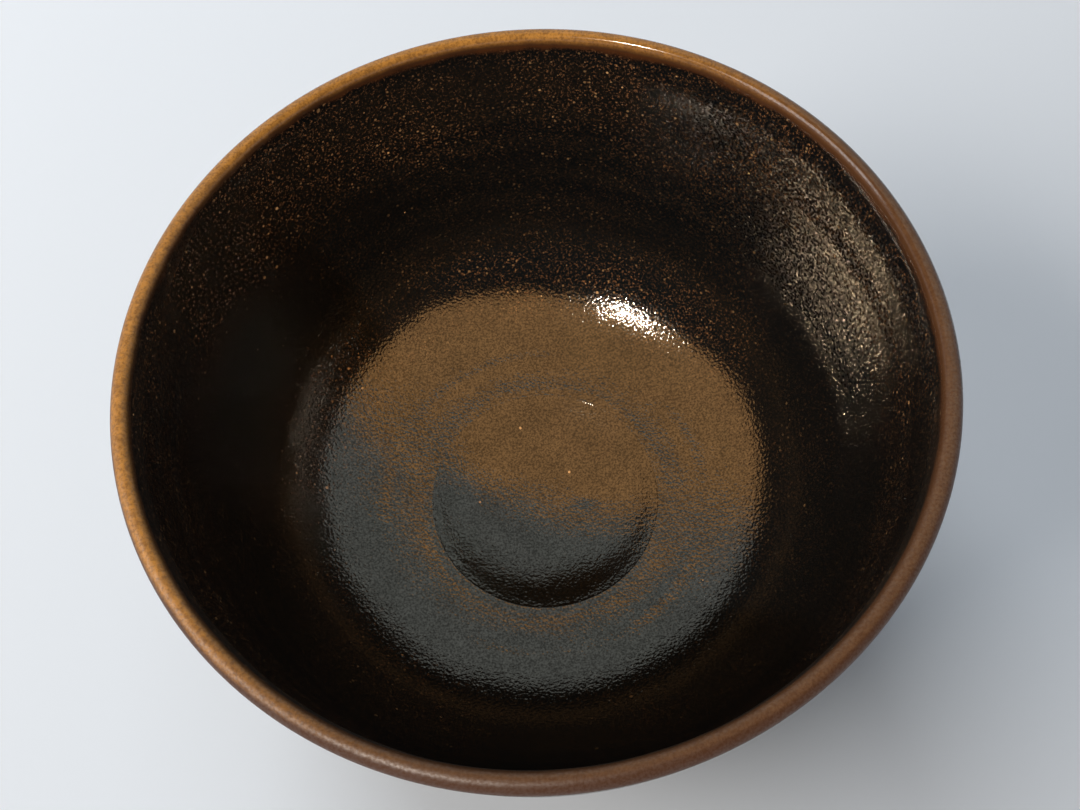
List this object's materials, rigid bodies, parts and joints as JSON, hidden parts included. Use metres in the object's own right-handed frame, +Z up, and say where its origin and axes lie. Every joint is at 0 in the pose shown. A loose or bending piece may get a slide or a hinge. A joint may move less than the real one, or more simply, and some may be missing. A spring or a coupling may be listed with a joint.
{
  "type": "matcha bowl",
  "caption": "Round-bottomed tea bowl with near-vertical walls, a round tea recess in its floor, dark glaze thinning to amber at the lip, and a bare clay foot ring.",
  "frame": {"origin": "centre of the foot ring on the table plane", "axes": "+Z up along the axis of the potter's wheel; X and Y lie in the table plane, +Y away from the viewer"},
  "size_m": [0.121, 0.121, 0.076],
  "materials": {
    "stoneware": "bare fired clay, matt and slightly gritty",
    "inner_glaze": "glossy black-brown glaze with fine golden specks and an orange-peel surface",
    "lip_glaze": "glossy amber to rust-brown glaze, thin over the lip",
    "outer_glaze": "glossy black-brown glaze that breaks to brown on the throwing ridges"
  },
  "bodies": {
    "root": {"clay_body": "stoneware", "foot_ring": "stoneware", "inner_glaze": "inner_glaze", "lip_glaze": "lip_glaze", "outer_glaze": "outer_glaze"}
  },
  "joints": []
}
